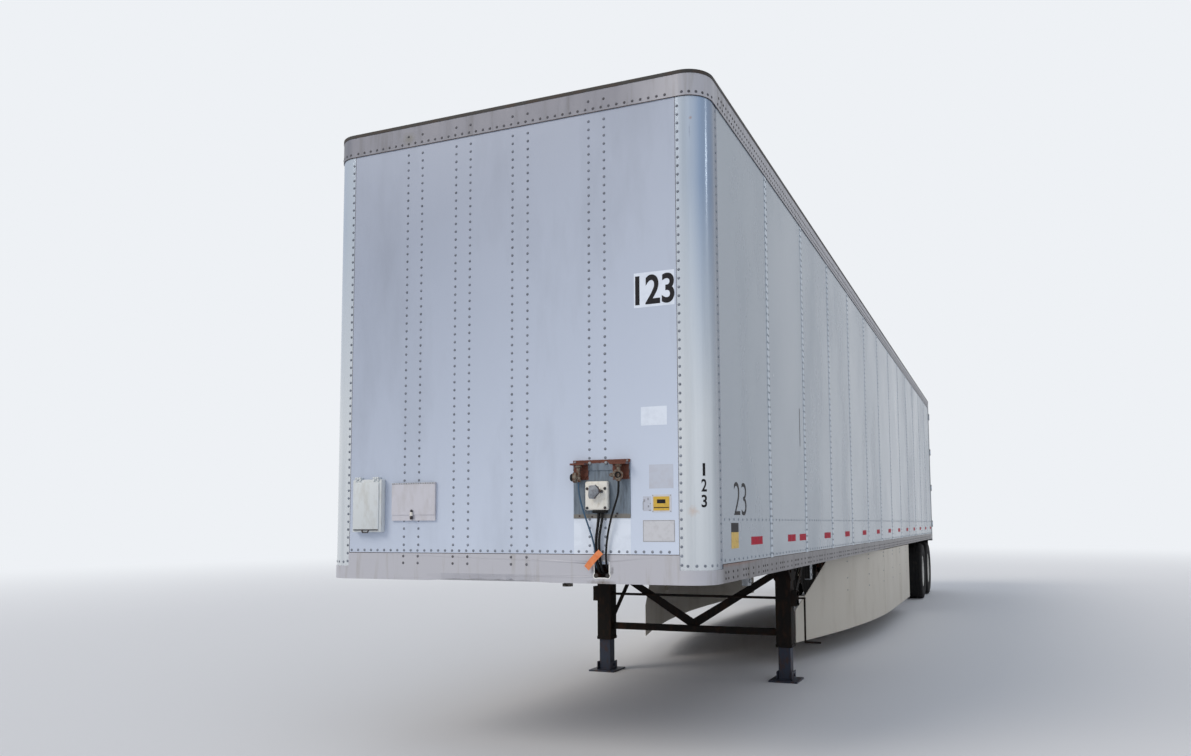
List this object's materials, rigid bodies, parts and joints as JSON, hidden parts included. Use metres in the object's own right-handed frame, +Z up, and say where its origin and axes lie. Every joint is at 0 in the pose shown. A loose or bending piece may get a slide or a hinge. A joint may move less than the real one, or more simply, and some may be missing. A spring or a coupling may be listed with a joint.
{
  "type": "dry van semi trailer",
  "caption": "Box-bodied semi trailer with rounded front corners, rear doors, side skirts, landing legs and a sliding tandem bogie.",
  "frame": {"origin": "on the ground under the middle of the body", "axes": "+Z up, the front wall faces -Y, +X is the roadside (the driver's left)"},
  "size_m": [2.622, 16.264, 4],
  "materials": {
    "hardwood": "oiled boards",
    "painted_steel": "chassis black, rusting",
    "white_plate": "gloss paint",
    "white_gloss": "gloss paint",
    "galvanised_steel": "dull zinc",
    "rail_aluminium": "weathered mill finish",
    "roof_aluminium": "dull",
    "red_lens": "gloss",
    "bare_steel": "greasy",
    "leg_paint": "rusty black",
    "ram_steel": "dull steel",
    "rusty_galvanised": "zinc with rust",
    "white_moulding": "moulded",
    "coupling_alloy": "cast, dirty",
    "blue_tube": "flexible tube",
    "black_rubber": "matt",
    "grey_paint": "satin",
    "skirt_panel": "dusty white",
    "guard_paint": "grey paint, scraped",
    "wheel_paint": "white paint, dusty",
    "tyre": "matt"
  },
  "bodies": {
    "van": {"floor_boards": "hardwood", "crossmembers": "painted_steel", "side_plates_roadside": "white_plate", "side_plates_curbside": "white_plate", "wall_joint_posts": "galvanised_steel", "front_wall": "white_plate", "front_corners": "white_gloss", "rail_corners": "rail_aluminium", "front_rails": "rail_aluminium", "side_rails": "rail_aluminium", "roof_sheet": "roof_aluminium", "roof_bows": "galvanised_steel", "rear_posts": "galvanised_steel", "rear_rails": "galvanised_steel", "rear_lamps": "red_lens", "upper_coupler": "painted_steel", "kingpin": "bare_steel", "leg_housings": "leg_paint", "leg_rams": "ram_steel", "leg_braces": "leg_paint", "leg_struts": "leg_paint", "leg_crank": "leg_paint", "service_plate": "rusty_galvanised", "service_socket": "white_moulding", "air_couplings": "coupling_alloy", "line_supply": "blue_tube", "line_service": "black_rubber", "harness_main": "black_rubber", "harness_spare": "black_rubber", "document_box": "white_moulding", "permit_frame": "grey_paint", "skirts": "skirt_panel", "slider_rails": "painted_steel", "underride_guard": "guard_paint", "mud_flaps": "black_rubber"},
    "bogie": {"bogie_frame": "painted_steel", "trailing_arms": "painted_steel", "air_springs": "black_rubber", "axle_beams": "painted_steel"},
    "wheels_front_roadside": {"tyres_front_roadside": "tyre", "wheels_front_roadside": "wheel_paint"},
    "wheels_front_curbside": {"tyres_front_curbside": "tyre", "wheels_front_curbside": "wheel_paint"},
    "wheels_rear_roadside": {"tyres_rear_roadside": "tyre", "wheels_rear_roadside": "wheel_paint"},
    "wheels_rear_curbside": {"tyres_rear_curbside": "tyre", "wheels_rear_curbside": "wheel_paint"},
    "door_roadside": {"door_roadside": "white_plate", "lock_gear_roadside": "galvanised_steel"},
    "door_curbside": {"door_curbside": "white_plate", "lock_gear_curbside": "galvanised_steel"},
    "document_lid": {"document_lid": "white_moulding"},
    "permit_cover": {"permit_cover": "grey_paint"}
  },
  "joints": [
    {"name": "bogie_slide", "type": "slide", "parent": "van", "child": "bogie", "axis": [0, -1, 0], "range_m": [0, 2.03]},
    {"name": "wheel_front_roadside", "type": "hinge", "parent": "bogie", "child": "wheels_front_roadside", "pos_m": [0, 5.682, 0.51], "axis": [1, 0, 0], "continuous": true},
    {"name": "wheel_front_curbside", "type": "hinge", "parent": "bogie", "child": "wheels_front_curbside", "pos_m": [0, 5.682, 0.51], "axis": [1, 0, 0], "continuous": true},
    {"name": "wheel_rear_roadside", "type": "hinge", "parent": "bogie", "child": "wheels_rear_roadside", "pos_m": [0, 6.927, 0.51], "axis": [1, 0, 0], "continuous": true},
    {"name": "wheel_rear_curbside", "type": "hinge", "parent": "bogie", "child": "wheels_rear_curbside", "pos_m": [0, 6.927, 0.51], "axis": [1, 0, 0], "continuous": true},
    {"name": "door_roadside_hinge", "type": "hinge", "parent": "van", "child": "door_roadside", "pos_m": [1.3, 8.089, 2.5], "axis": [0, 0, -1], "range_deg": [0, 260]},
    {"name": "door_curbside_hinge", "type": "hinge", "parent": "van", "child": "door_curbside", "pos_m": [-1.3, 8.089, 2.5], "axis": [0, 0, 1], "range_deg": [0, 260]},
    {"name": "document_lid_hinge", "type": "hinge", "parent": "van", "child": "document_lid", "pos_m": [-0.948, -8.121, 1.714], "axis": [-1, 0, 0], "range_deg": [0, 110]},
    {"name": "permit_cover_hinge", "type": "hinge", "parent": "van", "child": "permit_cover", "pos_m": [-0.621, -8.087, 1.675], "axis": [-1, 0, 0], "range_deg": [0, 120]}
  ]
}
